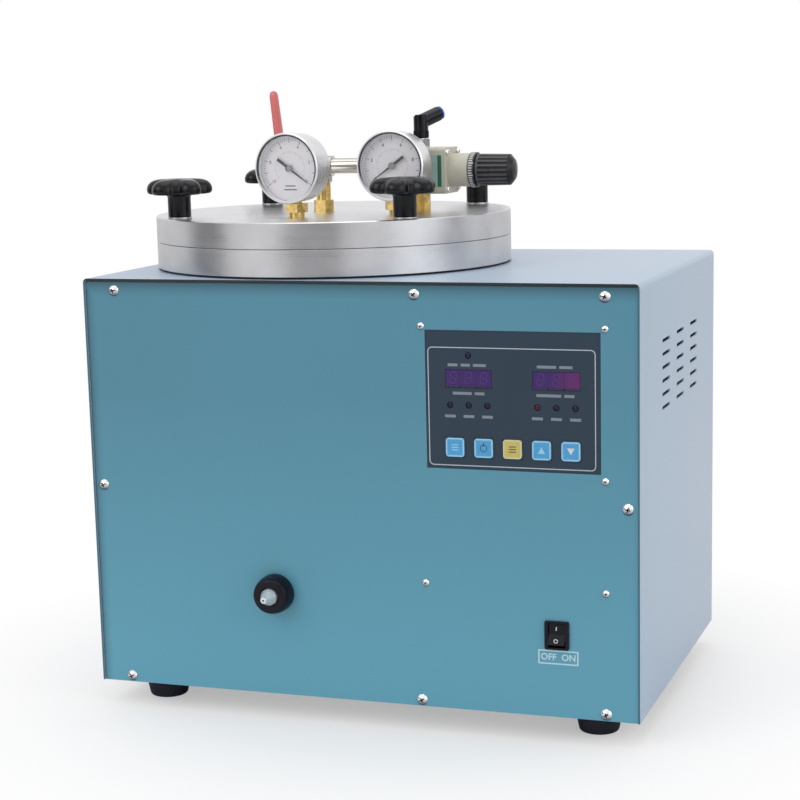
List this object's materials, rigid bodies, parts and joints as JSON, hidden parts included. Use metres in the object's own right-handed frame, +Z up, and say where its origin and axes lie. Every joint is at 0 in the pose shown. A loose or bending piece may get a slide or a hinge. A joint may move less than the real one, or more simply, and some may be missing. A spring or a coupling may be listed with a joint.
{
  "type": "jewelry wax injector",
  "caption": "Bench-top wax injector: sheet-metal cabinet with keypad and switch, spring nozzle, and a clamped pressure pot lid with gauges, regulator and vent valve.",
  "frame": {"origin": "on the resting surface under the middle of the cabinet", "axes": "+Z up, the front panel faces -Y, +X to the right seen from the front"},
  "size_m": [0.5, 0.38, 0.5495],
  "materials": {
    "shell_paint": "satin pale blue-grey",
    "panel_paint": "satin teal blue",
    "steel": "brushed",
    "chrome": "polished",
    "rubber": "matt",
    "silicone": "matt",
    "aluminium": "turned",
    "brass": "turned",
    "wool": "mineral wool",
    "black_plastic": "gloss",
    "overlay": "satin print",
    "lamp": "clear tinted",
    "board": "solder mask",
    "key_blue": "matt",
    "key_yellow": "matt",
    "dial": "matt white",
    "glass": "clear",
    "regulator": "matt beige",
    "red_sleeve": "dipped vinyl",
    "blue_plastic": "gloss",
    "core": "lacquered laminations"
  },
  "bodies": {
    "cabinet": {"base_plate": "steel", "outer_shell": "shell_paint", "front_panel": "panel_paint", "rear_panel": "panel_paint", "panel_screws": "chrome", "bracket_screws": "chrome", "rubber_feet": "rubber", "flange_gasket": "rubber", "wax_pot": "aluminium", "lid_seal": "silicone", "band_heater": "steel", "insulation_jacket": "wool", "temperature_sensors": "steel", "valve_block": "aluminium", "nozzle_heater": "steel", "nozzle_collar": "black_plastic", "nozzle_spring": "steel", "controller_bracket": "steel", "controller_overlay": "overlay", "indicator_leds": "lamp", "controller_board": "board", "switch_housing": "black_plastic", "transformer": "core", "vacuum_pump": "core", "solenoid_valves": "brass", "mains_inlet": "black_plastic", "air_ports": "chrome"},
    "lid": {"lid_plate": "aluminium", "gauge_cases": "chrome", "gauge_dials": "dial", "gauge_lenses": "glass", "brass_fittings": "brass", "valve_body": "chrome", "manifold_pipes": "chrome", "regulator_body": "regulator", "regulator_bonnet": "regulator", "elbow_base": "chrome"},
    "lever": {"valve_lever": "steel", "lever_grip": "red_sleeve"},
    "regulator_spindle": {"adjusting_screw": "steel"},
    "regulator_hand_knob": {"regulator_knob": "black_plastic"},
    "pointer_left": {"gauge_pointer_left": "black_plastic"},
    "pointer_right": {"gauge_pointer_right": "black_plastic"},
    "power_rocker": {"rocker": "black_plastic"},
    "nozzle": {"nozzle_tip": "chrome"},
    "elbow": {"elbow_head": "black_plastic"},
    "collet": {"elbow_collet": "blue_plastic"},
    "washer_front_left": {"knob_washer_front_left": "chrome"},
    "knob_front_left": {"star_knob_front_left": "black_plastic"},
    "washer_front_right": {"knob_washer_front_right": "chrome"},
    "knob_front_right": {"star_knob_front_right": "black_plastic"},
    "washer_back_left": {"knob_washer_back_left": "chrome"},
    "knob_back_left": {"star_knob_back_left": "black_plastic"},
    "washer_back_right": {"knob_washer_back_right": "chrome"},
    "knob_back_right": {"star_knob_back_right": "black_plastic"},
    "key_cap_1": {"key_1": "key_blue"},
    "key_cap_2": {"key_2": "key_blue"},
    "key_cap_3": {"key_3": "key_yellow"},
    "key_cap_4": {"key_4": "key_blue"},
    "key_cap_5": {"key_5": "key_blue"}
  },
  "joints": [
    {"name": "lid_lift", "type": "slide", "parent": "cabinet", "child": "lid", "axis": [0, 0, 1], "range_m": [0, 0.16]},
    {"name": "knob_rise_front_left", "type": "slide", "parent": "lid", "child": "washer_front_left", "axis": [0, 0, 1], "range_m": [0, 0.01501]},
    {"name": "knob_turn_front_left", "type": "hinge", "parent": "washer_front_left", "child": "knob_front_left", "pos_m": [-0.183, -0.105, 0.447], "axis": [0, 0, 1], "range_deg": [0, 3600]},
    {"name": "knob_rise_front_right", "type": "slide", "parent": "lid", "child": "washer_front_right", "axis": [0, 0, 1], "range_m": [0, 0.01501]},
    {"name": "knob_turn_front_right", "type": "hinge", "parent": "washer_front_right", "child": "knob_front_right", "pos_m": [0.031, -0.105, 0.447], "axis": [0, 0, 1], "range_deg": [0, 3600]},
    {"name": "knob_rise_back_left", "type": "slide", "parent": "lid", "child": "washer_back_left", "axis": [0, 0, 1], "range_m": [0, 0.01501]},
    {"name": "knob_turn_back_left", "type": "hinge", "parent": "washer_back_left", "child": "knob_back_left", "pos_m": [-0.183, 0.109, 0.447], "axis": [0, 0, 1], "range_deg": [0, 3600]},
    {"name": "knob_rise_back_right", "type": "slide", "parent": "lid", "child": "washer_back_right", "axis": [0, 0, 1], "range_m": [0, 0.01501]},
    {"name": "knob_turn_back_right", "type": "hinge", "parent": "washer_back_right", "child": "knob_back_right", "pos_m": [0.031, 0.109, 0.447], "axis": [0, 0, 1], "range_deg": [0, 3600]},
    {"name": "lever_turn", "type": "hinge", "parent": "lid", "child": "lever", "pos_m": [-0.1175, -0.003, 0.4802], "axis": [0, -1, 0], "range_deg": [-5.9, 84.1]},
    {"name": "spindle_turn", "type": "hinge", "parent": "lid", "child": "regulator_spindle", "pos_m": [0.06, -0.005, 0.4755], "axis": [-1, 0, 0], "range_deg": [0, 1800]},
    {"name": "regulator_knob_pull", "type": "slide", "parent": "regulator_spindle", "child": "regulator_hand_knob", "axis": [1, 0, 0], "range_m": [0, 0.0025]},
    {"name": "pointer_left_turn", "type": "hinge", "parent": "lid", "child": "pointer_left", "pos_m": [-0.077, -0.087, 0.482], "axis": [-0.0958, -0.9954, 0], "range_deg": [0, 251], "stiffness_Nm_per_rad": 0.001, "springref_deg": -11.46},
    {"name": "pointer_right_turn", "type": "hinge", "parent": "lid", "child": "pointer_right", "pos_m": [0.0053, -0.052, 0.482], "axis": [0, 1, 0], "range_deg": [0, 251], "stiffness_Nm_per_rad": 0.001, "springref_deg": -11.46},
    {"name": "key_1_press", "type": "slide", "parent": "cabinet", "child": "key_cap_1", "axis": [0, 1, 0], "range_m": [0, 0.0006], "stiffness_N_per_m": 200, "springref_m": -0.002},
    {"name": "key_2_press", "type": "slide", "parent": "cabinet", "child": "key_cap_2", "axis": [0, 1, 0], "range_m": [0, 0.0006], "stiffness_N_per_m": 200, "springref_m": -0.002},
    {"name": "key_3_press", "type": "slide", "parent": "cabinet", "child": "key_cap_3", "axis": [0, 1, 0], "range_m": [0, 0.0006], "stiffness_N_per_m": 200, "springref_m": -0.002},
    {"name": "key_4_press", "type": "slide", "parent": "cabinet", "child": "key_cap_4", "axis": [0, 1, 0], "range_m": [0, 0.0006], "stiffness_N_per_m": 200, "springref_m": -0.002},
    {"name": "key_5_press", "type": "slide", "parent": "cabinet", "child": "key_cap_5", "axis": [0, 1, 0], "range_m": [0, 0.0006], "stiffness_N_per_m": 200, "springref_m": -0.002},
    {"name": "rocker_tilt", "type": "hinge", "parent": "cabinet", "child": "power_rocker", "pos_m": [0.1789, -0.164, 0.0937], "axis": [1, 0, 0], "range_deg": [0, 24]},
    {"name": "nozzle_press", "type": "slide", "parent": "cabinet", "child": "nozzle", "axis": [0, 1, 0], "range_m": [0, 0.004], "stiffness_N_per_m": 1500, "springref_m": -0.004, "deforming": ["nozzle_spring"]},
    {"name": "elbow_swivel", "type": "hinge", "parent": "lid", "child": "elbow", "pos_m": [0.0135, -0.005, 0.519], "axis": [0, 0, 1], "continuous": true},
    {"name": "collet_press", "type": "slide", "parent": "elbow", "child": "collet", "axis": [-0.4755, -0.8236, -0.309], "range_m": [0, 0.001], "stiffness_N_per_m": 50, "springref_m": -0.002}
  ],
  "couplings": [
    {"joint": "knob_rise_front_left", "follows": "knob_turn_front_left", "m_per_rad": 0.00023873},
    {"joint": "knob_rise_front_right", "follows": "knob_turn_front_right", "m_per_rad": 0.00023873},
    {"joint": "knob_rise_back_left", "follows": "knob_turn_back_left", "m_per_rad": 0.00023873},
    {"joint": "knob_rise_back_right", "follows": "knob_turn_back_right", "m_per_rad": 0.00023873}
  ]
}
